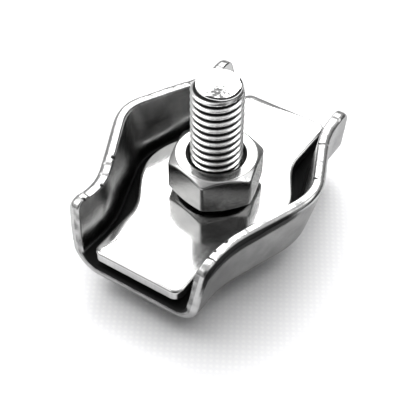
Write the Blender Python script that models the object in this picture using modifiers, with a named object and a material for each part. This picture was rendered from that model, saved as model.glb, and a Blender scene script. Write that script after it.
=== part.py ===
"""Wire rope clip: a stamped channel body, a pressure plate, a square-neck bolt and a hexagon nut.

The two ropes lie along Y, one on each side of the bolt, between the base and the plate.
The origin is on the bolt's axis, at the level on which the bolt's head stands.
"""

import math

import bmesh
import bpy

MM = 0.001

# Channel body, a stamped sheet
SHEET = 1.15 * MM
BODY_LENGTH = 26.4 * MM
END_WIDTH = 14.6 * MM  # over the flanges' top edges, at the ends
BULGE = 3.5 * MM  # how far each flange's top edge stands out at the bolt
FLANGE_HEIGHT = 7.0 * MM  # at the ends, above the underside
FLANGE_RISE = 0.8 * MM  # extra height at the bolt
END_LEAN = math.radians(8)
BULGE_LEAN = math.radians(14)
BEND_RADIUS = 2.4 * MM  # outside of the bend
END_RAKE = 1.0 * MM  # each flange's top edge is this much shorter, at each end
TIP_RADIUS = 0.7 * MM
SHEET_EDGE = 0.16 * MM
BODY_FLARE = 8.8 * MM  # from the bolt to where the sides run straight
BODY_CREST = 2.2 * MM  # half-length of the round turn beside the bolt
BODY_WAIST = 1.9 * MM  # half-length of the round turn into the straight ends

# Pressure plate
PLATE_THICKNESS = 1.2 * MM
PLATE_SETBACK = 0.02 * MM  # inside the body's ends
PLATE_SIDE_CLEARANCE = 0.75 * MM  # to the flanges' insides, at its underside
PLATE_FLARE_SETBACK = 2.5 * MM  # its flares end this much nearer the bolt than the body's
PLATE_CREST = 3.4 * MM
PLATE_WAIST = 1.2 * MM
PLATE_CORNER = 0.9 * MM
PLATE_EDGE = 0.22 * MM
PLATE_LIFT = 0.9 * MM  # its edges stop it on the bends, this far above the base

# Bolt, M5 x 16 with a low round head and a square neck
THREAD_DIAMETER = 4.9 * MM
THREAD_PITCH = 0.8 * MM
THREAD_DEPTH = 0.49 * MM
BOLT_LENGTH = 16.0 * MM  # under the head
BOLT_CHAMFER = 0.45 * MM
HEAD_DIAMETER = 10.0 * MM
HEAD_HEIGHT = 1.9 * MM
HEAD_RIM = 0.5 * MM
HEAD_LAND = 5.0 * MM  # flat in the middle of the domed head
NECK_MARGIN = 0.1 * MM  # the square neck is this much wider than the thread
PLAIN_SHANK = 1.6 * MM  # unthreaded above the neck

# Nut
NUT_WIDTH = 8.0 * MM  # across the flats
NUT_HEIGHT = 3.75 * MM
NUT_LIFT = 0.45 * MM  # finger-loose, this far above the plate
NUT_TURN = math.radians(16)
NUT_CHAMFER = math.radians(30)
NUT_FACE_MARGIN = 0.2 * MM  # from the flats to the circle where the chamfer starts
SINK_MARGIN = 0.3 * MM  # radius of the hole's countersink over the thread's
SINK_DEPTH = 0.45 * MM

# Clearances
GAP = 0.3 * MM
THREAD_CLEARANCE = 0.09 * MM
PLATE_HOLE_CLEARANCE = 0.4 * MM

THREAD_SIDES = 24
ROUND_SIDES = 48

NECK_WIDTH = THREAD_DIAMETER + NECK_MARGIN
BASE_Z = HEAD_HEIGHT + GAP
PLATE_Z = BASE_Z + SHEET + PLATE_LIFT
NUT_Z = PLATE_Z + PLATE_THICKNESS + NUT_LIFT
BOLT_END_Z = HEAD_HEIGHT + BOLT_LENGTH


def clear_scene():
    for obj in list(bpy.data.objects):
        bpy.data.objects.remove(obj, do_unlink=True)


def new_collection(name):
    collection = bpy.data.collections.new(name)
    bpy.context.scene.collection.children.link(collection)
    return collection


def steel(name, color, roughness):
    material = bpy.data.materials.new(name)
    material.use_nodes = True
    shader = material.node_tree.nodes["Principled BSDF"]
    shader.inputs["Base Color"].default_value = (*color, 1.0)
    shader.inputs["Metallic"].default_value = 1.0
    shader.inputs["Roughness"].default_value = roughness
    return material


def add_object(name, mesh, collection):
    obj = bpy.data.objects.new(name, mesh)
    collection.objects.link(obj)
    return obj


def add_cutter(name, mesh):
    obj = add_object(name, mesh, CUTTERS)
    obj.hide_render = True
    obj.display_type = "WIRE"
    return obj


def mesh_from(bm, name):
    bmesh.ops.recalc_face_normals(bm, faces=bm.faces)
    mesh = bpy.data.meshes.new(name)
    bm.to_mesh(mesh)
    bm.free()
    return mesh


def finish(obj, material, smooth_angle=30):
    obj.data.materials.append(material)
    obj.data.shade_smooth()
    obj.data.set_sharp_from_angle(angle=math.radians(smooth_angle))


def boolean(obj, other, operation):
    modifier = obj.modifiers.new(f"{operation.lower()}_{other.name}", "BOOLEAN")
    modifier.operation = operation
    modifier.object = other
    modifier.solver = "EXACT"
    return modifier


def bevel(obj, width, segments, angle):
    modifier = obj.modifiers.new("edge", "BEVEL")
    modifier.width = width
    modifier.segments = segments
    modifier.limit_method = "ANGLE"
    modifier.angle_limit = math.radians(angle)
    return modifier


def turned(name, profile, sides=ROUND_SIDES):
    """A solid turned about Z, from (radius, height) points that run down its outer side."""
    mesh = bpy.data.meshes.new(name)
    points = [(radius, 0.0, height) for radius, height in profile]
    mesh.from_pydata(points, [(i, i + 1) for i in range(len(points) - 1)], [])
    obj = add_cutter(name, mesh)
    screw = obj.modifiers.new("turn", "SCREW")
    screw.steps = sides
    screw.render_steps = sides
    screw.use_merge_vertices = True
    screw.merge_threshold = 0.00001
    return obj


def box(name, width, low, high):
    bm = bmesh.new()
    bmesh.ops.create_cube(bm, size=1.0)
    bmesh.ops.scale(bm, vec=(width, width, high - low), verts=bm.verts)
    bmesh.ops.translate(bm, vec=(0, 0, (low + high) / 2), verts=bm.verts)
    return add_cutter(name, mesh_from(bm, name))


def cylinder(name, radius, low, high, turn=0.0):
    bm = bmesh.new()
    bmesh.ops.create_cone(
        bm, cap_ends=True, segments=ROUND_SIDES, radius1=radius, radius2=radius, depth=high - low
    )
    bmesh.ops.translate(bm, vec=(0, 0, (low + high) / 2), verts=bm.verts)
    obj = add_cutter(name, mesh_from(bm, name))
    obj.rotation_euler.z = turn
    return obj


def threaded_rod(name, diameter, depth, low, high, spread=0.0):
    """A right-hand thread as one closed solid. spread widens the ridge along the axis."""
    outer = diameter / 2
    inner = outer - depth
    half_root = THREAD_PITCH * 0.19 - spread / 2
    half_crest = THREAD_PITCH * 0.08 + spread / 2
    ridge = [
        (inner, -THREAD_PITCH / 2 + half_root),
        (outer, -half_crest),
        (outer, half_crest),
        (inner, THREAD_PITCH / 2 - half_root),
    ]
    turns = math.ceil((high - low) / THREAD_PITCH) + 2
    first = math.floor(low / THREAD_PITCH) - 1
    bm = bmesh.new()
    rows = []
    for step in range(turns * THREAD_SIDES + 1):
        angle = math.tau * step / THREAD_SIDES
        rise = THREAD_PITCH * (first + step / THREAD_SIDES)
        rows.append(
            [
                bm.verts.new((radius * math.cos(angle), radius * math.sin(angle), rise + z))
                for radius, z in ridge
            ]
        )
    for here, after in zip(rows, rows[1:]):
        for k in range(len(ridge) - 1):
            bm.faces.new((here[k], after[k], after[k + 1], here[k + 1]))
    for here, after, above, above_after in zip(
        rows, rows[1:], rows[THREAD_SIDES:], rows[THREAD_SIDES + 1 :]
    ):
        bm.faces.new((here[-1], after[-1], above_after[0], above[0]))
    start = [row[0] for row in rows[: THREAD_SIDES + 1]] + rows[0][:0:-1]
    end = [row[-1] for row in rows[-THREAD_SIDES - 1 :]] + rows[-1][-2::-1]
    for loop, reach in ((start, -THREAD_PITCH), (end, THREAD_PITCH)):
        middle = sum(vert.co.z for vert in loop) / len(loop)
        tip = bm.verts.new((0, 0, middle + reach))
        for a, b in zip(loop, loop[1:] + loop[:1]):
            bm.faces.new((a, b, tip))
    return add_cutter(name, mesh_from(bm, name))


def hump(y, flare, crest, waist):
    """1 at the bolt, 0 along the straight ends, with straight flares and round turns between."""

    def raised(distance):
        if distance < crest:
            distance = distance * distance / (2 * crest) + crest / 2
        left = flare - distance
        if left > waist:
            return left
        return max(left + waist, 0.0) ** 2 / (4 * waist)

    return raised(abs(y)) / raised(0.0)


def flange_section(y):
    """Top edge (x, z), lean, and where the bend starts, on the outside of the sheet at y."""
    share = hump(y, BODY_FLARE, BODY_CREST, BODY_WAIST)
    top_x = END_WIDTH / 2 + BULGE * share
    top_z = FLANGE_HEIGHT + FLANGE_RISE * share
    lean = END_LEAN + (BULGE_LEAN - END_LEAN) * share
    corner_x = top_x - top_z * math.tan(lean)
    bend_x = corner_x - BEND_RADIUS * math.tan((math.pi / 2 - lean) / 2)
    return top_x, top_z, lean, bend_x


def inside_half_width(y, height):
    """From the middle plane to a flange's inside, at a height above the base's underside."""
    top_x, top_z, lean, _ = flange_section(y)
    return top_x - (top_z - height) * math.tan(lean) - SHEET / math.cos(lean)


def body_point(y_share, zone, t):
    """A point of the body's outside. zone is base, bend or flange, and t runs 0 to 1 across it."""
    half = BODY_LENGTH / 2
    if zone == "flange":
        drop = (1 - t) * FLANGE_HEIGHT
        tip = TIP_RADIUS - math.sqrt(max(TIP_RADIUS**2 - max(TIP_RADIUS - drop, 0.0) ** 2, 0.0))
        half -= END_RAKE * t + tip
    y = half * y_share
    top_x, top_z, lean, bend_x = flange_section(y)
    if zone == "base":
        return bend_x * t, y, 0.0
    swing = (math.pi / 2 - lean) * (t if zone == "bend" else 1.0)
    x = bend_x + BEND_RADIUS * math.sin(swing)
    z = BEND_RADIUS * (1 - math.cos(swing))
    if zone == "flange":
        x += (top_x - x) * t
        z += (top_z - z) * t
    return x, y, z


def channel_body():
    stations = 15
    across = [("base", 0.0), ("base", 0.5), ("base", 1.0)]
    across += [("bend", k / 5) for k in range(1, 6)]
    tip_share = TIP_RADIUS / FLANGE_HEIGHT
    across += [("flange", t) for t in (0.3, 0.6, 1 - tip_share)]
    across += [("flange", 1 - tip_share * s) for s in (0.6, 0.3, 0.1, 0.0)]
    bm = bmesh.new()
    grid = [
        [bm.verts.new(body_point(k / (stations - 1), zone, t)) for zone, t in across]
        for k in range(stations)
    ]
    for here, after in zip(grid, grid[1:]):
        for k in range(len(across) - 1):
            bm.faces.new((here[k], here[k + 1], after[k + 1], after[k]))
    mesh = mesh_from(bm, "channel_body")
    if mesh.polygons[0].normal.z > 0:
        mesh.flip_normals()
    obj = add_object("channel_body", mesh, PARTS)
    obj.location.z = BASE_Z
    mirror = obj.modifiers.new("both_sides", "MIRROR")
    mirror.use_axis = (True, True, False)
    mirror.merge_threshold = 0.00001
    sheet = obj.modifiers.new("sheet", "SOLIDIFY")
    sheet.thickness = SHEET
    sheet.offset = -1
    sheet.use_even_offset = True
    sheet.use_quality_normals = True
    bevel(obj, SHEET_EDGE, 1, 60)
    hole = box("square_hole", NECK_WIDTH + 2 * GAP, BASE_Z - GAP, BASE_Z + SHEET + GAP)
    boolean(obj, hole, "DIFFERENCE")
    finish(obj, steel("body_steel", (0.62, 0.62, 0.62), 0.22))
    return obj


def plate_outline():
    """The plate's outline, anticlockwise from the middle of its right side."""
    half_length = BODY_LENGTH / 2 - PLATE_SETBACK
    underside = PLATE_Z - BASE_Z
    half_width = inside_half_width(half_length, underside) - PLATE_SIDE_CLEARANCE
    bulge = inside_half_width(0.0, underside) - PLATE_SIDE_CLEARANCE - half_width
    flare = BODY_FLARE - PLATE_FLARE_SETBACK
    stations = 14
    quarter = []
    for k in range(stations):
        y = (half_length - PLATE_CORNER) * k / (stations - 1)
        quarter.append((half_width + bulge * hump(y, flare, PLATE_CREST, PLATE_WAIST), y))
    for k in range(1, 5):
        angle = math.pi / 2 * k / 4
        x = half_width - PLATE_CORNER * (1 - math.cos(angle))
        quarter.append((x, half_length - PLATE_CORNER * (1 - math.sin(angle))))
    left = [(-x, y) for x, y in reversed(quarter)]
    back = quarter + left
    front = [(-x, -y) for x, y in quarter[1:]] + [(x, -y) for x, y in reversed(quarter[1:])]
    return back + front


def pressure_plate():
    curve = bpy.data.curves.new("plate_outline", "CURVE")
    curve.dimensions = "2D"
    curve.fill_mode = "BOTH"
    curve.extrude = PLATE_THICKNESS / 2
    points = plate_outline()
    spline = curve.splines.new("POLY")
    spline.points.add(len(points) - 1)
    for point, (x, y) in zip(spline.points, points):
        point.co = (x, y, 0.0, 1.0)
    spline.use_cyclic_u = True
    outline = add_object("plate_outline", curve, PARTS)
    outline.location.z = PLATE_Z + PLATE_THICKNESS / 2
    bpy.context.view_layer.update()
    graph = bpy.context.evaluated_depsgraph_get()
    mesh = bpy.data.meshes.new_from_object(outline.evaluated_get(graph))
    bm = bmesh.new()
    bm.from_mesh(mesh)
    bmesh.ops.remove_doubles(bm, verts=bm.verts, dist=0.00001)
    bpy.data.meshes.remove(mesh)
    obj = add_object("pressure_plate", mesh_from(bm, "pressure_plate"), PARTS)
    obj.matrix_world = outline.matrix_world
    bpy.data.objects.remove(outline)
    bevel(obj, PLATE_EDGE, 2, 60)
    reach = PLATE_THICKNESS + GAP
    radius = THREAD_DIAMETER / 2 + PLATE_HOLE_CLEARANCE
    boolean(obj, cylinder("plate_hole", radius, PLATE_Z - reach, PLATE_Z + reach), "DIFFERENCE")
    finish(obj, steel("plate_steel", (0.70, 0.70, 0.69), 0.12))
    return obj


def bolt():
    thread_start = BASE_Z + SHEET + PLAIN_SHANK
    rod = threaded_rod("bolt_thread", THREAD_DIAMETER, THREAD_DEPTH, thread_start, BOLT_END_Z)
    radius = THREAD_DIAMETER / 2
    end_radius = radius - BOLT_CHAMFER
    trim = turned(
        "bolt_envelope",
        [
            (0, BOLT_END_Z),
            (end_radius, BOLT_END_Z),
            (radius + GAP, BOLT_END_Z - (BOLT_CHAMFER + GAP)),
            (radius + GAP, thread_start),
            (0, thread_start),
        ],
    )
    boolean(rod, trim, "INTERSECT")
    head_radius = HEAD_DIAMETER / 2
    land = HEAD_LAND / 2
    dome = []
    for k in range(9):
        angle = math.pi / 2 * (1 - k / 8)
        x = land + (head_radius - land) * math.sin(angle)
        z = (HEAD_HEIGHT - HEAD_RIM) * (1 - math.cos(angle))
        dome.append((x, z))
    top = [(0, HEAD_HEIGHT), (head_radius - 0.2 * MM, HEAD_HEIGHT)]
    head = turned("bolt_head", top + [(head_radius, HEAD_HEIGHT - 0.2 * MM)] + dome + [(0, 0)])
    neck = box("bolt_neck", NECK_WIDTH, HEAD_HEIGHT - GAP, BASE_Z + SHEET)
    quarter_step = math.tau / ROUND_SIDES / 4  # keeps its edges off those of the thread
    shank_radius = radius - THREAD_DEPTH / 2
    core = cylinder(
        "bolt_shank", shank_radius, HEAD_HEIGHT - GAP, thread_start + GAP, quarter_step
    )
    obj = add_object("bolt", head.data.copy(), PARTS)
    screw = obj.modifiers.new("turn", "SCREW")
    screw.steps = ROUND_SIDES
    screw.render_steps = ROUND_SIDES
    screw.use_merge_vertices = True
    screw.merge_threshold = 0.00001
    bpy.data.objects.remove(head)
    for piece in (neck, core, rod):
        boolean(obj, piece, "UNION")
    finish(obj, steel("bolt_steel", (0.72, 0.72, 0.71), 0.25))
    return obj


def nut():
    corner = NUT_WIDTH / 2 / math.cos(math.pi / 6)
    top_z = NUT_Z + NUT_HEIGHT
    bm = bmesh.new()
    bmesh.ops.create_cone(
        bm, cap_ends=True, segments=6, radius1=corner, radius2=corner, depth=NUT_HEIGHT
    )
    obj = add_object("nut", mesh_from(bm, "nut"), PARTS)
    obj.location.z = NUT_Z + NUT_HEIGHT / 2
    obj.rotation_euler.z = NUT_TURN
    face = NUT_WIDTH / 2 - NUT_FACE_MARGIN
    reach = corner + GAP
    fall = (reach - face) * math.tan(NUT_CHAMFER)
    crown = [(0, top_z), (face, top_z), (reach, top_z - fall)]
    crown += [(reach, NUT_Z + fall), (face, NUT_Z), (0, NUT_Z)]
    boolean(obj, turned("nut_crown", crown), "INTERSECT")
    tap = threaded_rod(
        "nut_tap",
        THREAD_DIAMETER + 2 * THREAD_CLEARANCE,
        THREAD_DEPTH,
        NUT_Z - THREAD_PITCH,
        top_z + THREAD_PITCH,
        spread=THREAD_CLEARANCE,
    )
    boolean(obj, tap, "DIFFERENCE")
    throat = THREAD_DIAMETER / 2 - THREAD_DEPTH
    mouth = THREAD_DIAMETER / 2 + SINK_MARGIN
    widening = (mouth - throat) * (SINK_DEPTH + GAP) / SINK_DEPTH
    for name, edge, way in (("top_sink", top_z, 1), ("bottom_sink", NUT_Z, -1)):
        outside = edge + way * GAP
        inside = edge - way * SINK_DEPTH
        profile = [(0, outside), (throat + widening, outside), (throat, inside), (0, inside)]
        boolean(obj, turned(name, profile[::way]), "DIFFERENCE")
    finish(obj, steel("nut_steel", (0.66, 0.66, 0.66), 0.2))
    return obj


clear_scene()
PARTS = new_collection("wire_rope_clip")
CUTTERS = new_collection("cutters")
channel_body()
pressure_plate()
bolt()
nut()
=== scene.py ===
"""A wire rope clip in bright stainless steel, standing on a white cloth under soft studio light.

Four fine surfaces, the pressing, plate, bolt and nut, stand in for the clip's plain pieces.
"""

import math

import bpy
import numpy as np
from mathutils import Matrix, Vector, noise


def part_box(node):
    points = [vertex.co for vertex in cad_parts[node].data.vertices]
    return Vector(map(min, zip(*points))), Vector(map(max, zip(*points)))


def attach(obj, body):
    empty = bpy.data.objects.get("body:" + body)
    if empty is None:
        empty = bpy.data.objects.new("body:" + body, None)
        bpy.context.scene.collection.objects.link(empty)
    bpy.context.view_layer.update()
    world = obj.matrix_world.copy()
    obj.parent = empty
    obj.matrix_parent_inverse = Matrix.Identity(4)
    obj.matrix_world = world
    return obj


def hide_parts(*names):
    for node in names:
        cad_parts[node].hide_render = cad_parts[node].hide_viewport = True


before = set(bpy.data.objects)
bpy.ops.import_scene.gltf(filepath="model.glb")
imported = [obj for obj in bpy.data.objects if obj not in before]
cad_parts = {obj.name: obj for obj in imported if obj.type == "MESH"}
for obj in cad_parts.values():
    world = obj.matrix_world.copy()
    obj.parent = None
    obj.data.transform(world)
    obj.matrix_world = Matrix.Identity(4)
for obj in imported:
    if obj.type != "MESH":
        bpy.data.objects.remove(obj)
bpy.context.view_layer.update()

MM = 0.001

# Places, from the clip's plain pieces
BASE_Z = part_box("channel_body")[0].z
PLATE_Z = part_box("pressure_plate")[0].z
PLATE_TOP_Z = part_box("pressure_plate")[1].z
NUT_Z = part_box("nut")[0].z
NUT_TOP_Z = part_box("nut")[1].z
BOLT_END_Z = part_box("bolt")[1].z
BODY_LENGTH = 2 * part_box("channel_body")[1].y
HEAD_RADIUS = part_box("bolt")[1].x

# The pressed sheet
SHEET = 1.15 * MM
END_WIDTH = 14.6 * MM
BULGE = 3.5 * MM
FLANGE_HEIGHT = 7.0 * MM
FLANGE_RISE = 0.8 * MM
END_LEAN = math.radians(8)
BULGE_LEAN = math.radians(14)
BEND_RADIUS = 2.4 * MM
END_RAKE = 1.0 * MM
TIP_RADIUS = 1.0 * MM
BODY_FLARE = 8.8 * MM
BODY_CREST = 2.2 * MM
BODY_WAIST = 1.9 * MM
HOLE_HALF = 2.8 * MM
EDGE_BAND = 0.27 * MM  # how far in from the rim its rounding starts
DIE_ROLL = 0.48 * MM
PUNCH_ROLL = 0.16 * MM
BOW = 0.55 * MM  # the left flange bows out this much at its front end
REACH = 0.4 * MM  # the right flange's front tip runs this much further forward
LIFT = 0.2 * MM  # the left flange stands this much higher at its back end
TEARS = (  # flange side, distance from the bolt along Y, half-length, of nicks in the rim's inner edge
    (-1, -11.2 * MM, 0.1 * MM),
    (-1, -9.1 * MM, 0.1 * MM),
    (-1, -6.2 * MM, 0.14 * MM),
    (-1, 8.4 * MM, 0.12 * MM),
    (1, -10.0 * MM, 0.08 * MM),
    (1, -8.7 * MM, 0.14 * MM),
    (1, 2.1 * MM, 0.12 * MM),
    (1, 6.9 * MM, 0.1 * MM),
)
TEAR_SHARE = 0.35  # a nick takes this much of the rim's rounding away
BURR = 0.25 * MM  # the folded lip stands out this much
TRIM = 0.75  # how far the sheared rim is levelled where its flange leans

# The plate
PLATE_SETBACK = 0.02 * MM
PLATE_SIDE_CLEARANCE = 0.75 * MM
PLATE_FLARE = 6.3 * MM
PLATE_CREST = 3.4 * MM
PLATE_WAIST = 1.2 * MM
PLATE_CORNER = 0.9 * MM
PLATE_ROLL = 0.3 * MM  # the top edge is rounded over this width
PLATE_DROOP = 1.2 * MM  # the left side's front and back corners are rolled over this much more
PLATE_UNDER_ROLL = 0.26 * MM
PLATE_HOLE = 2.85 * MM
PLATE_HOLE_ROLL = 0.14 * MM

# Thread, bolt and nut
PITCH = 0.8 * MM
THREAD_RADIUS = 2.45 * MM
THREAD_DEPTH = 0.46 * MM
CREST_HALF = 0.07
ROOT_HALF = 0.11
PLAIN_SHANK = 1.6 * MM
THREAD_START_Z = BASE_Z + SHEET + PLAIN_SHANK
BOLT_CHAMFER = 0.4 * MM
BOLT_DISH = 0.07 * MM  # the bolt's end face is hollow by this much
HEAD_HEIGHT = 1.9 * MM
HEAD_BRIM = 0.5 * MM  # the upright part of the head's side
HEAD_LAND = 2.5 * MM
NECK_HALF = 2.5 * MM
NECK_CORNER = 0.3 * MM
NUT_FLAT = 4.0 * MM
NUT_CORNER = 0.4 * MM
NUT_TURN = math.radians(16)
NUT_CHAMFER = math.radians(30)
NUT_FACE = 3.8 * MM
TAP_GAP = 0.09 * MM
SINK_RADIUS = 2.75 * MM
SINK_DEPTH = 1.2 * MM

# Painted shade, and dirt
PAINTED_SHADE_INSIDE = 2.6 * MM  # painted shade darkens the channel inside up to this far above its base
LIP_SHADOW = 0.85 * MM  # how far the painted shadow runs down the flange under the folded lip
# the black and roughness of the painted shade, and of the dirty spot on the bolt's end
BLACK_SHADE_AND_DIRT = (0.012, 0.012, 0.012)
SHADE_AND_DIRT_ROUGHNESS = 0.6
SMUDGE = (0.55, -0.95, BOLT_END_Z / MM)  # middle of the dirty spot on the bolt's end, in millimetres


# ---------------------------------------------------------------- mesh tools


def blend(a, b, share):
    return a + (b - a) * share


def ease(value):
    value = np.clip(value, 0.0, 1.0)
    return value * value * (3 - 2 * value)


def soft_min(a, b, width):
    gap = np.clip(0.5 + (b - a) / (2 * width), 0.0, 1.0)
    return blend(b, a, gap) - width * gap * (1 - gap)


def ripple(points, wavelength, seed, octaves=1):
    """Smooth noise from -1 to 1 at each point."""
    shift = Vector((seed * 17.3, seed * 5.1, seed * 9.7))
    values = np.zeros(len(points))
    size, weight = wavelength, 1.0
    for _ in range(octaves):
        values += weight * np.array([noise.noise(Vector(p) / size + shift) for p in points])
        size, weight = size / 2.3, weight / 2
    return values


def smooth_mesh(name, points, faces, values=None, sharp=None):
    """An object from points and faces, shaded smooth, with a value per point for each named attribute."""
    mesh = bpy.data.meshes.new(name)
    mesh.from_pydata(np.asarray(points).tolist(), [], faces)
    mesh.update()
    for key, numbers in (values or {}).items():
        attribute = mesh.attributes.new(key, "FLOAT", "POINT")
        attribute.data.foreach_set("value", np.asarray(numbers, np.float32))
    mesh.shade_smooth()
    if sharp:
        mesh.set_sharp_from_angle(angle=math.radians(sharp))
    obj = bpy.data.objects.new(name, mesh)
    bpy.context.scene.collection.objects.link(obj)
    return obj


def tidy_solid(name, points, faces, values, sharp=None):
    """An object from the points that its faces use, with the faces turned out."""
    used = np.unique(np.concatenate([np.array(face) for face in faces]))
    place = np.full(len(points), -1)
    place[used] = np.arange(len(used))
    faces = [tuple(int(place[v]) for v in face) for face in faces]
    points = np.asarray(points)[used]
    corners = points[np.array([face[:3] for face in faces])]
    if np.linalg.det(corners).sum() < 0:
        faces = [face[::-1] for face in faces]
    values = {key: np.asarray(numbers)[used] for key, numbers in values.items()}
    return smooth_mesh(name, points, faces, values, sharp)


def rings_to_faces(count, sides, closed):
    """Faces between rings of points in turn. A closed stack joins its last ring to its first."""
    faces = []
    for row in range(count if closed else count - 1):
        here, after = row * sides, (row + 1) % count * sides
        for k in range(sides):
            turn = (k + 1) % sides
            faces.append((here + k, here + turn, after + turn, after + k))
    return faces


def softened(profile, radius, steps=4):
    """Rounds every corner but the ends of a list of (radius, height) pairs, whose parts may be arrays."""
    every = np.broadcast_arrays(*(part for point in profile for part in point))
    profile = [np.stack(pair) for pair in zip(every[::2], every[1::2])]
    made = [profile[0]]
    for before, corner, after in zip(profile, profile[1:], profile[2:]):
        cut = []
        for end in (before, after):
            away = end - corner
            length = np.maximum(np.sqrt((away**2).sum(axis=0)), 1e-9)
            cut.append(corner + away / length * np.minimum(radius, length * 0.45))
        for k in range(steps + 1):
            t = k / steps
            point = cut[0] * (1 - t) ** 2 + corner * 2 * t * (1 - t) + cut[1] * t * t
            made.append((point[0], point[1]))
    made.append(profile[-1])
    return made


# ---------------------------------------------------------------- the pressing


def hump(y, flare, crest, waist):
    """1 at the bolt, 0 along the straight ends, with straight flares and round turns between."""

    def raised(distance):
        if distance < crest:
            distance = distance * distance / (2 * crest) + crest / 2
        left = flare - distance
        if left > waist:
            return left
        return max(left + waist, 0.0) ** 2 / (4 * waist)

    return raised(abs(y)) / raised(0.0)


def flange_section(y):
    """Top edge (x, z), lean and where the bend starts, on the outside of the sheet at y."""
    share = hump(y, BODY_FLARE, BODY_CREST, BODY_WAIST)
    top_x = END_WIDTH / 2 + BULGE * share
    top_z = FLANGE_HEIGHT + FLANGE_RISE * share
    lean = blend(END_LEAN, BULGE_LEAN, share)
    corner_x = top_x - top_z * math.tan(lean)
    bend_x = corner_x - BEND_RADIUS * math.tan((math.pi / 2 - lean) / 2)
    return top_x, top_z, lean, bend_x


def inside_half_width(y, height):
    top_x, top_z, lean, _ = flange_section(y)
    return top_x - (top_z - height) * math.tan(lean) - SHEET / math.cos(lean)


def pressing_point(length_share, zone, t):
    """A point on the outside of the pressing's right half, up to EDGE_BAND inside its rim."""
    half = BODY_LENGTH / 2 - EDGE_BAND
    if zone == "flange":
        drop = (1 - t) * FLANGE_HEIGHT
        radius = TIP_RADIUS - EDGE_BAND
        tip = radius - math.sqrt(max(radius**2 - max(radius - drop, 0.0) ** 2, 0.0))
        half -= END_RAKE * t + tip
    y = half * length_share
    top_x, top_z, lean, bend_x = flange_section(y)
    if zone == "floor":
        return (HOLE_HALF + EDGE_BAND) * t, y, 0.0
    if zone == "base":
        return blend(HOLE_HALF + EDGE_BAND, bend_x, t), y, 0.0
    swing = (math.pi / 2 - lean) * (t if zone == "bend" else 1.0)
    x = bend_x + BEND_RADIUS * math.sin(swing)
    z = BEND_RADIUS * (1 - math.cos(swing))
    if zone == "flange":
        x = blend(x, top_x - EDGE_BAND * math.sin(lean), t)
        z = blend(z, top_z - EDGE_BAND * math.cos(lean), t)
    return x, y, z


def pressing_grid():
    """Points of the whole outside, from the left top edge to the right one, and from front to back."""
    across = [("floor", k / 6) for k in range(7)]
    across += [("base", k / 8) for k in range(1, 9)]
    across += [("bend", k / 12) for k in range(1, 13)]
    tip_share = (TIP_RADIUS - EDGE_BAND) / FLANGE_HEIGHT
    across += [("flange", (1 - tip_share) * k / 22) for k in range(1, 23)]
    across += [("flange", 1 - tip_share * (1 - math.sin(math.pi / 2 * k / 8))) for k in range(1, 9)]
    hole_share = (HOLE_HALF + EDGE_BAND) / (BODY_LENGTH / 2 - EDGE_BAND)
    shares = [hole_share * k / 26 for k in range(26)]
    shares += [blend(hole_share, 1.0, k / 90) for k in range(91)]
    quarter = np.array([[pressing_point(s, zone, t) for s in shares] for zone, t in across])
    half = np.concatenate([quarter[:, :0:-1] * (1, -1, 1), quarter], axis=1)
    return np.concatenate([half[:0:-1] * (-1, 1, 1), half], axis=0)


def bent_by_hand(grid):
    """Small departures of the ends from the drawn shape, as hand use and the press leave them."""
    x, y, z = grid[..., 0].copy(), grid[..., 1].copy(), grid[..., 2].copy()
    left, right = x < 0, x > 0
    height = np.clip(z / FLANGE_HEIGHT, 0.0, 1.0)
    upper = ease((height - 0.3) / 0.7)
    front = ease((-y - 8 * MM) / (5 * MM))
    back = ease((y - 1 * MM) / (5 * MM))
    back_end = ease((y - 8 * MM) / (5 * MM))
    grid[..., 0] -= BOW * front * left * (1 - (1 - height) ** 2) * ease(height * 3)
    grid[..., 1] += (0.2 * left + 0.1 * right) * MM * back_end * upper - REACH * front * right * upper
    grid[..., 2] += LIFT * back * left * upper
    return grid


def grid_normals(grid):
    """Unit normals that point away from the sheet's inside."""
    normals = np.cross(np.gradient(grid, axis=0), np.gradient(grid, axis=1))
    normals /= np.linalg.norm(normals, axis=2, keepdims=True)
    if normals[normals.shape[0] // 2, 0, 2] > 0:
        normals = -normals
    return normals


def rim_profile(land_steps=6, roll_steps=5):
    """(reach, depth, land) down a sheared edge, from the sheet's outside round to its inside."""
    profile = []
    for k in range(roll_steps + 1):
        turn = math.pi / 2 * k / roll_steps
        profile.append((EDGE_BAND * math.sin(turn), DIE_ROLL * (1 - math.cos(turn)), k / roll_steps))
    for k in range(1, land_steps):
        depth = blend(DIE_ROLL, SHEET - PUNCH_ROLL, k / land_steps)
        profile.append((EDGE_BAND, depth, 1.0))
    for k in range(roll_steps + 1):
        turn = math.pi / 2 * k / roll_steps
        depth = SHEET - PUNCH_ROLL * (1 - math.sin(turn))
        profile.append((EDGE_BAND * math.cos(turn), depth, 1 - k / roll_steps))
    return profile


def lip_share(points):
    """How strongly the rim's outer lip is folded over, most at the front of the right flange."""
    front = ease((-points[:, 1] - 1 * MM) / (5 * MM)) * (points[:, 0] > 0)
    front *= 1 - ease((-points[:, 1] - 12.2 * MM) / (0.6 * MM))
    share = ease(ripple(points * (0, 1, 0), 2.6 * MM, 8, octaves=3) * 0.6 + 1.05)
    return share * blend(0.1, 1.0, front) * ease((points[:, 2] - BASE_Z - 3.5 * MM) / MM)


def rim_wear(points):
    """How far each rim point is worn back, and how torn its inner edge is, from 0 to 1."""
    worn = 0.024 * MM * ripple(points, 1.9 * MM, 3, octaves=2)
    torn = np.zeros(len(points))
    for side, y, half_length in TEARS:
        near = np.exp(-(((points[:, 1] - y) / half_length) ** 4))
        torn = np.maximum(torn, near * (np.sign(points[:, 0]) == side))
    torn *= np.clip(0.9 + ripple(points, 0.35 * MM, 9), 0.0, 1.0)
    return worn, torn * (points[:, 2] > BASE_Z + 4 * MM)


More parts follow.
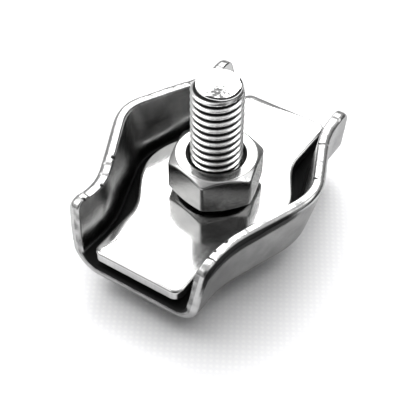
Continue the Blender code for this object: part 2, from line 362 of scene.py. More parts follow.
def channel_body():
    """One pressed sheet: outside, inside, and sheared edges all round it and round its square hole."""
    grid = bent_by_hand(pressing_grid())
    grid[:, :, 2] += BASE_Z
    normals = grid_normals(grid)
    rows, columns = grid.shape[:2]
    flat = grid.reshape(-1, 3)
    wave = ripple(flat, 3.4 * MM, 1) * 0.012 * MM + ripple(flat, 1.3 * MM, 2) * 0.003 * MM
    wave = (wave * ease((flat[:, 2] - BASE_Z) / (1.5 * MM))).reshape(rows, columns, 1)
    outside = grid + normals * wave
    inside = outside - normals * SHEET
    points = [outside.reshape(-1, 3), inside.reshape(-1, 3)]
    skin = rows * columns
    below_edge = (grid[-1:, :, 2] - grid[..., 2]).reshape(-1)
    # Painted shadow in a band under the folded lip, painted shade over the outside of the right half, and
    # painted shade low inside the channel
    under_lip = lip_share(flat) * np.exp(-((below_edge / LIP_SHADOW) ** 4)) * (flat[:, 0] > 0)
    right_side_shade = (0.2 + 0.06 * ripple(flat, 2.1 * MM, 15, octaves=3)) * ease(flat[:, 0] / (4 * MM))
    on_outside = np.maximum(np.minimum(1.5 * under_lip, 1.0), right_side_shade)
    in_depth = ease((BASE_Z + PAINTED_SHADE_INSIDE - points[1][:, 2]) / (0.9 * MM))
    none = np.zeros(skin)
    values = {"rim": [none, none], "run": [none, none], "painted_shade": [on_outside, in_depth]}
    index = np.arange(skin).reshape(rows, columns)

    hole = HOLE_HALF + EDGE_BAND + 0.001 * MM
    centre = (grid[1:, 1:] + grid[:-1, :-1])[..., :2] / 2
    solid = (np.abs(centre) > hole).any(axis=2)
    faces = []
    for i, j in zip(*np.nonzero(solid)):
        quad = (index[i, j], index[i + 1, j], index[i + 1, j + 1], index[i, j + 1])
        faces.append(tuple(int(v) for v in quad))
        faces.append(tuple(int(v) + skin for v in quad[::-1]))

    def along_rim(loop, outward):
        """Closes the sheet's edge along a loop of grid points. outward is 1, or -1 round the hole."""
        at, normal = outside.reshape(-1, 3)[loop], normals.reshape(-1, 3)[loop]
        along = np.roll(at, -1, axis=0) - np.roll(at, 1, axis=0)
        out = np.cross(along, normal)
        out /= np.linalg.norm(out, axis=1, keepdims=True)
        out *= outward * np.sign((out * (at - at.mean(axis=0))).sum())
        run = np.cumsum(np.linalg.norm(at - np.roll(at, 1, axis=0), axis=1)) / MM
        worn, torn = rim_wear(at) if outward > 0 else (0.0 * run, 0.0 * run)
        lip = BURR * lip_share(at) * (outward > 0)
        start = sum(len(p) for p in points)
        profile = rim_profile()
        tilt = TRIM * np.maximum(-normal[:, 2], 0.0) * (at[:, 2] > BASE_Z + 3 * MM)
        for reach, depth, land in profile[1:-1]:
            place = at - normal * depth
            through = depth / SHEET
            fray = 0.016 * MM * ripple(place, 0.5 * MM, 5) if outward > 0 else 0
            near_lip = math.exp(-(((depth - 0.08 * MM) / (0.16 * MM)) ** 2))
            nick = torn * float(ease((through - 0.66) / 0.22))
            shift = reach * (1 - TEAR_SHARE * nick) + (worn + fray + tilt * (SHEET - depth)) * land
            points.append(place + out * shift[:, None] + normal * (lip * near_lip)[:, None])
            values["rim"].append(np.full(len(loop), land))
            values["run"].append(run)
            # Painted shade on the rim: in the nicks, low in the channel, and in a band under the folded
            # lip. The cut ends' inner half is darkened partly for its duller fracture zone and partly as
            # painted shade
            shaded = float(ease((through - 0.68) / 0.2)) * in_depth[loop]
            under = float(ease((0.34 * MM - depth) / (0.1 * MM))) * lip_share(at) * (at[:, 0] > 0)
            broken = 0.3 * out[:, 1] ** 4 * float(ease((through - 0.5) / 0.08))
            broken *= np.clip(0.8 + ripple(place, 0.6 * MM, 12), 0, 1)
            on_rim = np.maximum(under, broken) * (outward > 0)
            values["painted_shade"].append(np.maximum.reduce([nick, shaded, on_rim]))
        count = len(loop)
        rings = [loop]
        rings += [list(range(start + k * count, start + (k + 1) * count)) for k in range(len(profile) - 2)]
        rings.append([v + skin for v in loop])
        for here, after in zip(rings, rings[1:]):
            for k in range(count):
                turn = (k + 1) % count
                faces.append((here[k], after[k], after[turn], here[turn]))

    edge = [*index[:, 0], *index[-1, 1:], *index[-2::-1, -1], *index[0, -2:0:-1]]
    along_rim([int(v) for v in edge], 1)
    on_hole = (np.abs(grid[..., :2]) < hole).all(axis=2)
    i, j = np.nonzero(on_hole)
    square = index[i.min() : i.max() + 1, j.min() : j.max() + 1]
    edge = [*square[0, :], *square[1:, -1], *square[-1, -2::-1], *square[-2:0:-1, 0]]
    along_rim([int(v) for v in edge], -1)
    points = np.concatenate(points)
    values = {key: np.concatenate(parts) for key, parts in values.items()}
    return tidy_solid("clip_body_pressing", points, faces, values)


# ---------------------------------------------------------------- the plate


def plate_outline(count=560):
    """Evenly spaced points round the plate, anticlockwise, and their outward directions."""
    half_length = BODY_LENGTH / 2 - PLATE_SETBACK
    underside = PLATE_Z - BASE_Z
    half_width = inside_half_width(half_length, underside) - PLATE_SIDE_CLEARANCE
    bulge = inside_half_width(0.0, underside) - PLATE_SIDE_CLEARANCE - half_width
    quarter = []
    for k in range(120):
        y = (half_length - PLATE_CORNER) * k / 119
        quarter.append((half_width + bulge * hump(y, PLATE_FLARE, PLATE_CREST, PLATE_WAIST), y))
    for k in range(1, 17):
        angle = math.pi / 2 * k / 16
        x = half_width - PLATE_CORNER * (1 - math.cos(angle))
        quarter.append((x, half_length - PLATE_CORNER * (1 - math.sin(angle))))
    quarter = np.array(quarter)
    half = np.concatenate([quarter, quarter[::-1] * (-1, 1)])
    loop = np.concatenate([half, half[::-1][1:-1] * (1, -1)])
    loop = np.concatenate([loop, loop[:1]])
    run = np.concatenate([[0], np.cumsum(np.linalg.norm(np.diff(loop, axis=0), axis=1))])
    even = np.linspace(0, run[-1], count, endpoint=False)
    points = np.stack([np.interp(even, run, loop[:, axis]) for axis in (0, 1)], axis=1)
    along = np.roll(points, -2, axis=0) - np.roll(points, 2, axis=0)
    out = np.stack([along[:, 1], -along[:, 0]], axis=1)
    return points, out / np.linalg.norm(out, axis=1, keepdims=True), even


def pressure_plate():
    """A flat blank with a round hole, its top edge rolled over, and painted shade on its sides below the
    top and on its underside.
    """
    outline, out, run = plate_outline()
    angle = np.arctan2(outline[:, 1], outline[:, 0])
    toward = np.stack([np.cos(angle), np.sin(angle)], axis=1)
    hole = toward * PLATE_HOLE
    top_drop = 0.8 * PLATE_ROLL
    low = PLATE_Z + PLATE_UNDER_ROLL
    rings, rims = [], []

    def ring(plan, height, rim):
        rings.append(np.column_stack([plan, np.full(len(plan), height)]))
        rims.append(np.full(len(plan), rim))

    x, y = outline[:, 0], outline[:, 1]
    left_front = ease((-x - 3 * MM) / (2 * MM)) * np.exp(-(((y + 9.5 * MM) / (3 * MM)) ** 2))
    left_back = np.exp(-(((x + 3.5 * MM) / (3 * MM)) ** 2 + ((y - 13 * MM) / (3 * MM)) ** 2))
    roll = (PLATE_ROLL + PLATE_DROOP * np.maximum(left_front, left_back))[:, None]
    flat_edge = outline - out * roll
    flat_hole = hole + toward * PLATE_HOLE_ROLL
    under_edge = outline - out * PLATE_UNDER_ROLL
    for k in range(41):
        ring(blend(flat_hole, flat_edge, (k / 40) ** 0.9), PLATE_TOP_Z, 0.0)
    fray = 0.012 * MM * ripple(np.column_stack([outline, 0 * run]), 0.9 * MM, 11, octaves=2)
    for k in range(1, 11):
        turn = math.pi / 2 * k / 10
        plan = outline - out * (roll * (1 - math.sin(turn)) - fray[:, None] * k / 10)
        ring(plan, PLATE_TOP_Z - top_drop * (1 - math.cos(turn)), k / 10)
    for k in range(1, 6):
        ring(outline + out * fray[:, None], blend(PLATE_TOP_Z - top_drop, low, k / 6), 1.0)
    for k in range(5):
        turn = math.pi / 2 * k / 4
        plan = outline - out * (PLATE_UNDER_ROLL * (1 - math.cos(turn)) - fray * (1 - k / 4))[:, None]
        ring(plan, low - PLATE_UNDER_ROLL * math.sin(turn), 1 - k / 4)
    for k in range(1, 13):
        ring(blend(under_edge, flat_hole, k / 12), PLATE_Z, 0.0)
    for k in range(1, 5):
        turn = math.pi / 2 * k / 4
        height = PLATE_Z + PLATE_HOLE_ROLL * (1 - math.cos(turn))
        ring(hole + toward * PLATE_HOLE_ROLL * (1 - math.sin(turn)), height, k / 4)
    for k in range(4):
        turn = math.pi / 2 * k / 4
        height = PLATE_TOP_Z - PLATE_HOLE_ROLL * (1 - math.sin(turn))
        ring(hole + toward * PLATE_HOLE_ROLL * (1 - math.cos(turn)), height, 1 - k / 4)
    points = np.concatenate(rings)
    swell = ripple(points * (1, 1, 0), 6.5 * MM, 21) * 0.012 * MM
    points[:, 2] += swell * (points[:, 2] > PLATE_Z + 0.8 * (PLATE_TOP_Z - PLATE_Z))
    faces = rings_to_faces(len(rings), len(outline), closed=True)
    # Painted shade on the plate's left and right sides below the top, and on its underside
    side = ease((np.abs(out[:, 0]) - 0.6) / 0.3)
    low_side = np.tile(side, len(rings)) * ease((PLATE_TOP_Z - 0.1 * MM - points[:, 2]) / (0.3 * MM))
    painted_shade = np.maximum(low_side, ease((PLATE_Z + 0.24 * MM - points[:, 2]) / (0.14 * MM)))
    values = {"rim": np.concatenate(rims), "run": np.tile(run / MM, len(rings)), "painted_shade": painted_shade}
    return tidy_solid("pressure_plate_blank", points, faces, values)


# ---------------------------------------------------------------- bolt and nut


def ridge(phase):
    """How deep the thread is cut at each phase, from 0 on its crest to 1 in its root."""
    off = np.abs(phase - np.round(phase))
    cut = np.clip((off - CREST_HALF) / (0.5 - ROOT_HALF - CREST_HALF), 0.0, 1.0)
    return blend(cut, cut * cut * (3 - 2 * cut), 0.2)


def turned_piece(name, profile, angles, values, closed, sharp=None):
    """A piece from (radius, height) rings about Z. An open one is closed by its end points on the axis."""
    sides = len(angles)
    rings = []
    for radius, height in profile:
        radius, height = (np.broadcast_to(v, angles.shape) for v in (radius, height))
        rings.append(np.stack([radius * np.cos(angles), radius * np.sin(angles), height], axis=1))
    points = np.concatenate(rings)
    faces = rings_to_faces(len(rings), sides, closed)
    if not closed:
        ends = [(0, rings[0]), (len(rings) - 1, rings[-1])]
        for row, ring in ends:
            tip = len(points)
            points = np.concatenate([points, [[0.0, 0.0, ring[:, 2].mean()]]])
            values = {key: np.append(numbers, numbers[row * sides]) for key, numbers in values.items()}
            start = row * sides
            for k in range(sides):
                turn = (k + 1) % sides
                pair = (start + k, start + turn) if row else (start + turn, start + k)
                faces.append((*pair, tip))
    return tidy_solid(name, points, faces, values, sharp)


def rounded_square(angles, half, corner):
    """Distance from the axis to a square with rounded corners, at each angle."""
    a = np.abs((angles + math.pi / 4) % (math.pi / 2) - math.pi / 4)
    side = half / np.cos(a)
    middle = half - corner
    reach = middle * (np.cos(a) + np.sin(a))
    arc = reach + np.sqrt(np.maximum(reach**2 - 2 * middle**2 + corner**2, 0.0))
    return np.where(half * np.tan(a) > middle, arc, side)


def bolt():
    """A low round head, a square neck, and a rolled thread up to a chamfered end."""
    sides = 144
    angles = np.arange(sides) * math.tau / sides
    turns = angles / math.tau
    neck = rounded_square(angles, NECK_HALF, NECK_CORNER)
    neck_top = BASE_Z + SHEET
    shank = THREAD_RADIUS - THREAD_DEPTH / 2
    profile = [(HEAD_LAND * k / 4, 0.0) for k in range(1, 5)]
    for k in range(1, 11):
        turn = math.pi / 2 * k / 10
        radius = HEAD_LAND + (HEAD_RADIUS - HEAD_LAND) * math.sin(turn)
        profile.append((radius, (HEAD_HEIGHT - HEAD_BRIM) * (1 - math.cos(turn))))
    shoulder = HEAD_RADIUS * 0.8
    rim = [(HEAD_RADIUS, HEAD_HEIGHT - HEAD_BRIM), (HEAD_RADIUS, HEAD_HEIGHT), (shoulder, HEAD_HEIGHT)]
    profile += softened(rim, 0.15 * MM)[1:]
    profile += [(blend(shoulder, neck, k / 4), HEAD_HEIGHT) for k in range(1, 5)]
    profile += softened([(neck, HEAD_HEIGHT), (neck, neck_top), (shank, neck_top)], 0.25 * MM)[1:]
    profile += [(shank, blend(neck_top, THREAD_START_Z, k / 6)) for k in range(1, 6)]
    plain = len(profile)

    step = PITCH / 24
    end_radius = THREAD_RADIUS - BOLT_CHAMFER
    count = int((BOLT_END_Z - 0.12 * MM - THREAD_START_Z) / step)
    for k in range(count + 1):
        z = THREAD_START_Z + k * step
        cut = THREAD_RADIUS - THREAD_DEPTH * ridge(z / PITCH - turns)
        near_end = ease((z - (BOLT_END_Z - 2.2 * PITCH)) / PITCH)
        place = np.stack([np.cos(angles) * 2.4, np.sin(angles) * 2.4, np.full(sides, z / MM)], axis=1)
        cut = cut + ripple(place, 0.9, 31, octaves=2) * (0.002 + 0.02 * near_end) * MM
        cut = blend(shank, cut, ease((z - THREAD_START_Z) / PITCH))
        envelope = end_radius + (BOLT_END_Z - z) * 0.95
        profile.append((soft_min(cut, envelope, 0.07 * MM), z))
    ended = len(profile)
    rough = ripple(np.stack([np.cos(angles), np.sin(angles), 0 * angles], axis=1), 0.5, 33, 2)
    last_radius, last_z = profile[-1]
    for k in range(1, 7):
        turn = math.pi / 2 * k / 6
        radius = last_radius - 0.06 * MM * (1 - math.cos(turn))
        profile.append((radius + rough * 0.01 * MM, blend(last_z, BOLT_END_Z, math.sin(turn))))
    face_radius = radius
    for k in range(1, 12):
        share = 1 - k / 12
        profile.append((face_radius * share, BOLT_END_Z - BOLT_DISH * ease((1 - share) * 1.6)))
    threaded = np.arange(len(profile)) >= plain
    threaded[ended:] = False
    # The thread's roots are painted dark as shade, by how deep the thread is cut
    depth = [np.broadcast_to(1 - r / THREAD_RADIUS, sides) * t for (r, _), t in zip(profile, threaded)]
    # A painted dark line of shade round the rounding at the bolt's end, heaviest toward the front right
    end_rim_shade = np.clip(np.cos(angles + math.radians(35)) + 0.5 + 1.2 * rough, 0.0, 1.0)
    for row, share in enumerate((0.1, 0.16, 0.19, 0.19, 0.1), start=ended + 2):
        depth[row] = end_rim_shade * share
    values = {"painted_shade": np.concatenate(depth) * THREAD_RADIUS / THREAD_DEPTH}
    return turned_piece("bolt_m5", profile, angles, values, closed=False, sharp=50)


def rounded_hexagon(angles, flat, corner):
    """Distance from the axis to the nut's sides, with rounded corners, at each angle."""
    a = np.abs((angles - NUT_TURN + math.pi / 6) % (math.pi / 3) - math.pi / 6)
    side = flat / np.cos(a)
    away = (flat - corner) / math.cos(math.pi / 6)
    off = math.pi / 6 - a
    arc = away * np.cos(off) + np.sqrt(np.maximum(corner**2 - (away * np.sin(off)) ** 2, 0.0))
    return np.where(flat * np.tan(a) > (flat - corner) * math.tan(math.pi / 6), arc, side)


def nut():
    """A hexagon nut, chamfered on both faces, with a threaded bore that is countersunk at both ends."""
    sides = 240
    angles = np.arange(sides) * math.tau / sides
    turns = angles / math.tau
    rows = 72
    profile = []
    throat = THREAD_RADIUS - THREAD_DEPTH
    spread = TAP_GAP / PITCH / 2
    for k in range(rows + 1):
        z = blend(NUT_Z, NUT_TOP_Z, k / rows)
        off = z / PITCH - turns
        off = np.abs(off - np.round(off))
        cut = np.clip((off - CREST_HALF - spread) / (0.5 - ROOT_HALF - CREST_HALF), 0.0, 1.0)
        bore = THREAD_RADIUS + TAP_GAP - THREAD_DEPTH * cut
        depth = min(z - NUT_Z, NUT_TOP_Z - z)
        sink = throat + (SINK_RADIUS - throat) * (1 - depth / SINK_DEPTH)
        profile.append((-soft_min(-bore, -sink, 0.03 * MM), z))
    hexagon = rounded_hexagon(angles, NUT_FLAT, NUT_CORNER)
    fall = (hexagon - NUT_FACE) * math.tan(NUT_CHAMFER)
    outside = [
        (profile[-1][0], NUT_TOP_Z),
        (NUT_FACE, NUT_TOP_Z),
        (hexagon, NUT_TOP_Z - fall),
        (hexagon, NUT_Z + fall),
        (NUT_FACE, NUT_Z),
        (profile[0][0], NUT_Z),
    ]
    outside = softened(outside, 0.13 * MM, steps=5)
    whole = []
    for here, after in zip(outside, outside[1:]):
        whole.append(here)
        gap = float(np.max(np.hypot(after[0] - here[0], after[1] - here[1])))
        parts = max(1, round(gap / (0.2 * MM)))
        for k in range(1, parts):
            share = k / parts
            whole.append((blend(here[0], after[0], share), blend(here[1], after[1], share)))
    profile = profile + whole[1:]
    # The bore is painted dark as shade
    painted_shade = np.zeros(len(profile) * sides)
    painted_shade[: (rows + 1) * sides] = 1.0
    return turned_piece("nut_m5", profile, angles, {"painted_shade": painted_shade}, closed=True)


# ---------------------------------------------------------------- finishes


def add(tree, kind, inputs=None, **settings):
    """A node with its settings, its plain input values and its links."""
    made = tree.nodes.new(kind)
    for key, value in settings.items():
        setattr(made, key, value)
    for key, value in (inputs or {}).items():
        socket = made.inputs[key]
        if isinstance(value, bpy.types.NodeSocket):
            tree.links.new(value, socket)
        else:
            socket.default_value = value
    return made


def maths(tree, operation, a, b=0.0):
    return add(tree, "ShaderNodeMath", {0: a, 1: b}, operation=operation).outputs[0]


def to_range(tree, value, low, high, out_low=0.0, out_high=1.0):
    """Eases a value from one range to another."""
    inputs = {"Value": value, "From Min": low, "From Max": high, "To Min": out_low, "To Max": out_high}
    return add(tree, "ShaderNodeMapRange", inputs, interpolation_type="SMOOTHSTEP").outputs["Result"]


def noise_value(tree, inputs, **settings):
    return add(tree, "ShaderNodeTexNoise", inputs, **settings).outputs["Fac"]


def painted(tree, name):
    """A value that the mesh carries at each point."""
    return add(tree, "ShaderNodeAttribute", attribute_name=name).outputs["Fac"]


def mix_color(tree, share, a, b):
    made = add(tree, "ShaderNodeMix", {"Factor": share}, data_type="RGBA")
    for socket, value in ((made.inputs[6], a), (made.inputs[7], b)):
        if isinstance(value, bpy.types.NodeSocket):
            tree.links.new(value, socket)
        else:
            socket.default_value = (*value, 1.0)
    return made.outputs[2]


def new_group(name, inputs, outputs):
    """A shader group with named inputs and outputs. A socket that is named Color carries a color."""
    tree = bpy.data.node_groups.new(name, "ShaderNodeTree")

    def socket(socket_name, in_out):
        kind = "NodeSocketColor" if "Color" in socket_name else "NodeSocketFloat"
        return tree.interface.new_socket(socket_name, in_out=in_out, socket_type=kind)

    for socket_name, value in inputs:
        socket(socket_name, "INPUT").default_value = value
    for socket_name in outputs:
        socket(socket_name, "OUTPUT")
    return tree, tree.nodes.new("NodeGroupInput").outputs, tree.nodes.new("NodeGroupOutput").inputs


def in_millimetres(tree):
    place = tree.nodes.new("ShaderNodeTexCoord").outputs["Object"]
    scaled = add(tree, "ShaderNodeVectorMath", {0: place}, operation="SCALE")
    scaled.inputs["Scale"].default_value = 1 / MM
    return scaled.outputs[0]


def tumble_scratches():
    """Short fine scratches that cross in every direction, as tumbling in a barrel leaves them."""
    inputs = [("Per Millimetre", 1.0), ("Width", 0.05)]
    tree, given, out = new_group("tumble_scratches", inputs, ["Marks"])
    place = in_millimetres(tree)
    total = None
    ways = (
        ((0.3, 0.2, 0.5), 0.09),
        ((1.1, -0.4, 2.1), 0.12),
        ((-0.7, 0.9, 1.2), 0.07),
        ((0.2, 1.3, -0.6), 0.1),
    )
    for turn, stretch in ways:
        inputs = {"Vector": place, "Rotation": turn, "Scale": (1.0, stretch, 1.0)}
        turned = add(tree, "ShaderNodeMapping", inputs).outputs[0]
        grain = noise_value(tree, {"Vector": turned, "Scale": given["Per Millimetre"], "Detail": 1.0})
        off = maths(tree, "ABSOLUTE", maths(tree, "SUBTRACT", grain, 0.5))
        line = to_range(tree, off, 0.0, given["Width"], 1.0, 0.0)
        total = line if total is None else maths(tree, "MAXIMUM", total, line)
    tree.links.new(total, out["Marks"])
    return tree


def cloudy_tone():
    """Slow changes of tone over the metal, where it was handled and polished unevenly."""
    tree, given, out = new_group("cloudy_tone", [("Size", 4.0), ("Seed", 0.0)], ["Tone"])
    size = maths(tree, "DIVIDE", 1.0, given["Size"])
    inputs = {"Vector": in_millimetres(tree), "W": given["Seed"], "Scale": size}
    inputs.update({"Detail": 4.0, "Roughness": 0.55, "Distortion": 0.6})
    cloud = noise_value(tree, inputs, noise_dimensions="4D")
    tree.links.new(to_range(tree, cloud, 0.3, 0.7), out["Tone"])
    return tree


def ridges_and_hollows():
    """Masks of the ridges, lightened as rubbed wear and painted highlight, and of the hollows, painted
    darker as shade.
    """
    tree, given, out = new_group("ridges_and_hollows", [("Reach", 0.06)], ["Ridge", "Hollow"])
    point = tree.nodes.new("ShaderNodeNewGeometry").outputs["Pointiness"]
    high = maths(tree, "ADD", 0.5, given["Reach"])
    low = maths(tree, "SUBTRACT", 0.5, given["Reach"])
    tree.links.new(to_range(tree, point, 0.505, high), out["Ridge"])
    tree.links.new(to_range(tree, point, 0.495, low), out["Hollow"])
    return tree


def sheared_edge():
    """Fine tear lines across a sheared rim."""
    tree, given, out = new_group("sheared_edge", [("Lines", 3.0)], ["Tears"])
    inputs = {"W": painted(tree, "run"), "Scale": given["Lines"], "Detail": 3.0, "Roughness": 0.7}
    tears = noise_value(tree, inputs, noise_dimensions="1D")
    uneven = noise_value(tree, {"Vector": in_millimetres(tree), "Scale": 2.2, "Detail": 3.0})
    lines = maths(tree, "ADD", tears, maths(tree, "MULTIPLY", uneven, 0.8))
    on_rim = to_range(tree, painted(tree, "rim"), 0.5, 1.0)
    tree.links.new(maths(tree, "MULTIPLY", lines, on_rim), out["Tears"])
    return tree


def turning_rings():
    """Fine rings round the bolt's axis, as a facing tool leaves them."""
    tree, given, out = new_group("turning_rings", [("Per Millimetre", 6.0)], ["Rings"])
    split = add(tree, "ShaderNodeSeparateXYZ", {0: in_millimetres(tree)}).outputs
    squares = [maths(tree, "MULTIPLY", axis, axis) for axis in (split[0], split[1])]
    radius = maths(tree, "SQRT", maths(tree, "ADD", *squares))
    inputs = {"W": radius, "Scale": given["Per Millimetre"], "Detail": 3.0, "Roughness": 0.6}
    tree.links.new(noise_value(tree, inputs, noise_dimensions="1D"), out["Rings"])
    return tree


def black_shade_and_dirt():
    """Dull black over clean metal, from none at 0 to a full cover: painted shade, and the dirty spot on
    the bolt's end.
    """
    inputs = [("Clean Color", (0.5, 0.5, 0.5, 1.0)), ("Clean Roughness", 0.2), ("Dirt", 0.0)]
    tree, given, out = new_group("black_shade_and_dirt", inputs, ["Color", "Roughness", "Metallic"])
    cover = to_range(tree, given["Dirt"], 0.0, 0.55)
    tree.links.new(mix_color(tree, cover, given["Clean Color"], BLACK_SHADE_AND_DIRT), out["Color"])
    dull = maths(tree, "MULTIPLY", given["Dirt"], SHADE_AND_DIRT_ROUGHNESS)
    tree.links.new(maths(tree, "MAXIMUM", given["Clean Roughness"], dull), out["Roughness"])
    metal = maths(tree, "SUBTRACT", 1.0, maths(tree, "MULTIPLY", given["Dirt"], 0.95))
    tree.links.new(metal, out["Metallic"])
    return tree


GROUPS = {
    "scratches": tumble_scratches(),
    "tone": cloudy_tone(),
    "edges": ridges_and_hollows(),
    "shear": sheared_edge(),
    "rings": turning_rings(),
    "shade_and_dirt": black_shade_and_dirt(),
}


def use(tree, group, **values):
    """The outputs of a shared group, with its inputs given by name."""
    inputs = {key.replace("_", " "): value for key, value in values.items()}
    return add(tree, "ShaderNodeGroup", inputs, node_tree=GROUPS[group]).outputs


def steel(name):
    """A new metal, its node tree and its shader."""
    material = bpy.data.materials.new(name)
    material.use_nodes = True
    shader = material.node_tree.nodes["Principled BSDF"]
    shader.inputs["Specular Tint"].default_value = (0.6, 0.6, 0.6, 1.0)
    shader.inputs["Specular IOR Level"].default_value = 0.15
    return material, material.node_tree, shader


def connect(tree, shader, color, roughness, height, depth, shade_and_dirt):
    """Joins the finish to the shader, with painted black shade, and dirt where there is any, lying over
    the metal.
    """
    covered = use(tree, "shade_and_dirt", Clean_Color=color, Clean_Roughness=roughness, Dirt=shade_and_dirt)
    bump = add(tree, "ShaderNodeBump", {"Height": height, "Distance": depth, "Strength": 1.0})
    tree.links.new(covered["Color"], shader.inputs["Base Color"])
    tree.links.new(covered["Roughness"], shader.inputs["Roughness"])
    tree.links.new(covered["Metallic"], shader.inputs["Metallic"])
    tree.links.new(bump.outputs[0], shader.inputs["Normal"])


def sheet_steel(name, dark, bright, gloss, haze, scratch_depth, seed):
    """Pressed sheet: polished faces with a tumbled haze, bright torn rims, and painted shade in its
    hollows and wherever its mesh carries it.
    """
    material, tree, shader = steel(name)
    tone = use(tree, "tone", Size=3.2, Seed=seed)["Tone"]
    small = use(tree, "tone", Size=0.7, Seed=seed + 3)["Tone"]
    marks = use(tree, "scratches", Per_Millimetre=2.4, Width=0.035)["Marks"]
    edges = use(tree, "edges", Reach=0.07)
    shear = use(tree, "shear", Lines=5.0)
    color = mix_color(tree, tone, dark, bright)
    # ridges lightened as rubbed wear and painted highlight, hollows painted darker as shade
    color = mix_color(tree, maths(tree, "MULTIPLY", edges["Ridge"], 0.2), color, (0.7, 0.7, 0.7))
    color = mix_color(tree, maths(tree, "MULTIPLY", edges["Hollow"], 0.4), color, (0.2, 0.2, 0.2))
    torn = to_range(tree, shear["Tears"], 0.7, 1.3)
    color = mix_color(tree, maths(tree, "MULTIPLY", torn, 0.4), color, (0.3, 0.3, 0.3))
    waves = maths(tree, "MULTIPLY", small, 0.5)
    rough = to_range(tree, maths(tree, "ADD", tone, waves), 0.0, 1.5, gloss, haze)
    rough = maths(tree, "ADD", rough, maths(tree, "MULTIPLY", marks, 0.03))
    height = maths(tree, "SUBTRACT", waves, maths(tree, "MULTIPLY", marks, 0.15))
    height = maths(tree, "ADD", height, maths(tree, "MULTIPLY", shear["Tears"], 4.0))
    connect(tree, shader, color, rough, height, scratch_depth, painted(tree, "painted_shade"))
    return material


def bolt_steel():
    """Rolled thread with painted shade in its roots and round its end, and a rough end face with a dirty
    spot.
    """
    material, tree, shader = steel("bolt_steel")
    tone = use(tree, "tone", Size=1.8, Seed=5.0)["Tone"]
    blotch = use(tree, "tone", Size=0.9, Seed=9.0)["Tone"]
    marks = use(tree, "scratches", Per_Millimetre=3.0, Width=0.04)["Marks"]
    rings = use(tree, "rings", Per_Millimetre=5.0)["Rings"]
    # painted shade in the thread's roots and round the end
    in_roots = to_range(tree, painted(tree, "painted_shade"), 0.3, 0.85, 0.0, 0.97)
    color = mix_color(tree, tone, (0.74, 0.74, 0.74), (0.86, 0.86, 0.855))
    normal = tree.nodes.new("ShaderNodeNewGeometry").outputs["Normal"]
    up = add(tree, "ShaderNodeSeparateXYZ", {0: normal}).outputs[2]
    facing = to_range(tree, up, 0.9, 0.99)
    place = in_millimetres(tree)
    inputs = {0: place, 1: SMUDGE}
    away = add(tree, "ShaderNodeVectorMath", inputs, operation="DISTANCE").outputs["Value"]
    speckle = noise_value(tree, {"Vector": place, "Scale": 2.8, "Detail": 4.0, "Roughness": 0.65})
    speckle = maths(tree, "SUBTRACT", speckle, maths(tree, "MULTIPLY", away, 0.15))
    speckle = to_range(tree, speckle, 0.2, 0.5)
    smear = maths(tree, "MULTIPLY", maths(tree, "MULTIPLY", facing, speckle), 0.46)
    rough = to_range(tree, tone, 0.0, 1.0, 0.14, 0.24)
    rough = maths(tree, "ADD", rough, maths(tree, "MULTIPLY", facing, 0.08))
    grooves = maths(tree, "MULTIPLY", rings, 0.8)
    height = maths(tree, "SUBTRACT", grooves, maths(tree, "MULTIPLY", marks, 0.5))
    height = maths(tree, "ADD", height, maths(tree, "MULTIPLY", blotch, 0.8))
    connect(tree, shader, color, rough, height, 0.003 * MM, maths(tree, "MAXIMUM", in_roots, smear))
    return material


def nut_steel():
    """Turned faces with fine rings, corners lightened as rubbed wear and painted highlight, and a bore
    painted dark as shade.
    """
    material, tree, shader = steel("nut_steel")
    tone = use(tree, "tone", Size=2.2, Seed=14.0)["Tone"]
    marks = use(tree, "scratches", Per_Millimetre=2.6, Width=0.04)["Marks"]
    rings = use(tree, "rings", Per_Millimetre=7.0)["Rings"]
    edges = use(tree, "edges", Reach=0.05)
    # the bore painted dark as shade
    in_bore = maths(tree, "MULTIPLY", painted(tree, "painted_shade"), 0.9)
    color = mix_color(tree, tone, (0.36, 0.36, 0.36), (0.46, 0.46, 0.455))
    # corners lightened as rubbed wear and painted highlight
    color = mix_color(tree, maths(tree, "MULTIPLY", edges["Ridge"], 0.5), color, (0.7, 0.7, 0.7))
    rough = to_range(tree, tone, 0.0, 1.0, 0.1, 0.18)
    rough = maths(tree, "ADD", rough, maths(tree, "MULTIPLY", marks, 0.08))
    grooves = maths(tree, "MULTIPLY", rings, 0.7)
    height = maths(tree, "SUBTRACT", grooves, maths(tree, "MULTIPLY", marks, 0.5))
    connect(tree, shader, color, rough, height, 0.003 * MM, in_bore)
    return material


def white_cloth():
    """Plain white cloth with a faint weave."""
    material = bpy.data.materials.new("white_cloth")
    material.use_nodes = True
    tree = material.node_tree
    shader = tree.nodes["Principled BSDF"]
    shader.inputs["Roughness"].default_value = 0.9
    shader.inputs["Specular IOR Level"].default_value = 0.1
    inputs = {"Vector": in_millimetres(tree), "Rotation": (0, 0, math.radians(-31))}
    turned = add(tree, "ShaderNodeMapping", inputs).outputs[0]
    threads = []
    for axis in ("X", "Y"):
        inputs = {"Vector": turned, "Scale": 0.56, "Distortion": 0.7, "Detail": 1.0, "Detail Scale": 0.4}
        wave = add(tree, "ShaderNodeTexWave", inputs, bands_direction=axis, wave_profile="SIN")
        threads.append(wave.outputs["Fac"])
    weave = maths(tree, "MULTIPLY", *threads)
    color = mix_color(tree, weave, (0.85, 0.85, 0.86), (0.9, 0.9, 0.9))
    tree.links.new(color, shader.inputs["Base Color"])
    bump = add(tree, "ShaderNodeBump", {"Height": weave, "Distance": 0.03 * MM, "Strength": 0.5})
    tree.links.new(bump.outputs[0], shader.inputs["Normal"])
    return material


# ---------------------------------------------------------------- the stage


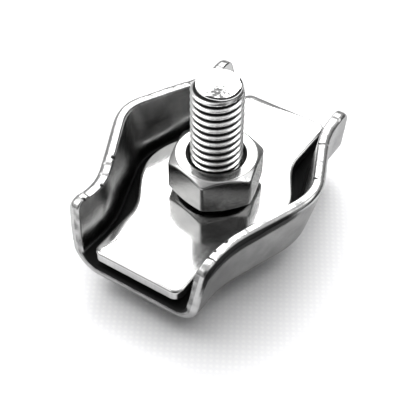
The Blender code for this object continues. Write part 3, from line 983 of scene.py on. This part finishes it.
def cloth_floor():
    """A level cloth that runs far past the clip on every side."""
    size = 1.5
    mesh = bpy.data.meshes.new("cloth")
    corners = [(-size, -size, 0), (size, -size, 0), (size, size, 0), (-size, size, 0)]
    mesh.from_pydata(corners, [], [(0, 1, 2, 3)])
    obj = bpy.data.objects.new("cloth", mesh)
    bpy.context.scene.collection.objects.link(obj)
    obj.data.materials.append(white_cloth())


def soft_box(name, direction, distance, size, power, on_cloth=True):
    """A square soft light that faces the clip. One kept off the cloth only shows in the metal."""
    light = bpy.data.lights.new(name, "AREA")
    light.shape = "RECTANGLE"
    light.size, light.size_y = size
    light.energy = power
    obj = bpy.data.objects.new(name, light)
    bpy.context.scene.collection.objects.link(obj)
    obj.visible_diffuse = on_cloth
    away = Vector(direction).normalized()
    obj.location = away * distance + Vector((0, 0, 8 * MM))
    obj.rotation_euler = away.to_track_quat("Z", "Y").to_euler()


def studio_surround():
    """A room, bright above and dim to the front right, that lights dull surfaces mostly from overhead."""
    world = bpy.data.worlds.new("studio")
    bpy.context.scene.world = world
    world.use_nodes = True
    tree = world.node_tree
    ground = tree.nodes["Background"]
    place = tree.nodes.new("ShaderNodeTexCoord").outputs["Generated"]

    def facing(toward, low, high):
        inputs = {0: place, 1: Vector(toward).normalized()}
        dot = add(tree, "ShaderNodeVectorMath", inputs, operation="DOT_PRODUCT").outputs["Value"]
        return to_range(tree, dot, low, high)

    def grey(value):
        return (value, value, value)

    tint = mix_color(tree, facing((0, 0, 1), 0.1, 0.75), grey(0.45), grey(0.95))
    tint = mix_color(tree, facing((0.381, -0.581, 0.6), 0.72, 0.95), tint, grey(0.1))
    tint = mix_color(tree, facing((0.75, 0.62, 0.2), 0.6, 0.95), tint, grey(0.08))
    ray = tree.nodes.new("ShaderNodeLightPath").outputs
    on_cloth = mix_color(tree, facing((-0.2, 0.3, 0.93), 0.5, 0.92), grey(0.16), grey(2.9))
    tint = mix_color(tree, ray["Is Diffuse Ray"], tint, on_cloth)
    tint = mix_color(tree, ray["Is Camera Ray"], tint, grey(1.0))
    tree.links.new(tint, ground.inputs["Color"])


def camera():
    """Where the clip is seen from: its direction, distance and the point it looks at."""
    azimuth, elevation, roll = (math.radians(v) for v in (33.296, 46.004, 0.518))
    distance = 107.17 * MM
    target = Vector((0.293, -3.132, 6.2)) * MM
    back = Vector((
        math.sin(azimuth) * math.cos(elevation),
        -math.cos(azimuth) * math.cos(elevation),
        math.sin(elevation),
    ))
    right = Vector((math.cos(azimuth), math.sin(azimuth), 0))
    up = back.cross(right)
    across = right * math.cos(roll) + up * math.sin(roll)
    over = up * math.cos(roll) - right * math.sin(roll)
    data = bpy.data.cameras.new("camera")
    data.sensor_width = 36.0
    data.lens = 103.88
    data.clip_start = 0.005
    obj = bpy.data.objects.new("camera", data)
    bpy.context.scene.collection.objects.link(obj)
    turn = Matrix((across, over, back)).transposed()
    obj.matrix_world = Matrix.Translation(target + back * distance) @ turn.to_4x4()
    bpy.context.scene.camera = obj


# ---------------------------------------------------------------- the scene

camera()
studio_surround()
cloth_floor()
soft_box("back_window", (-0.38, 0.60, 0.72), 0.42, (0.28, 0.22), 1.0)
soft_box("left_window", (-0.60, -0.25, 0.76), 0.45, (0.28, 0.28), 0.5, on_cloth=False)
soft_box("right_window", (0.5, 0.4, 0.8), 0.45, (0.22, 0.22), 0.3, on_cloth=False)

FINISHES = {
    "body_steel": sheet_steel(
        "body_steel",
        dark=(0.38, 0.38, 0.38),
        bright=(0.48, 0.48, 0.475),
        gloss=0.17,
        haze=0.24,
        scratch_depth=0.003 * MM,
        seed=1.0,
    ),
    "plate_steel": sheet_steel(
        "plate_steel",
        dark=(0.46, 0.46, 0.46),
        bright=(0.54, 0.54, 0.535),
        gloss=0.1,
        haze=0.16,
        scratch_depth=0.001 * MM,
        seed=7.0,
    ),
    "bolt_steel": bolt_steel(),
    "nut_steel": nut_steel(),
}
PIECES = (
    (channel_body, "channel_body", "clip_body", "body_steel"),
    (pressure_plate, "pressure_plate", "plate", "plate_steel"),
    (bolt, "bolt", "clip_body", "bolt_steel"),
    (nut, "nut", "nut", "nut_steel"),
)
for make, node, body, slot in PIECES:
    piece = make()
    piece.data.materials.append(FINISHES[slot])
    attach(piece, body)
    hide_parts(node)

bpy.context.scene.view_settings.view_transform = "Standard"
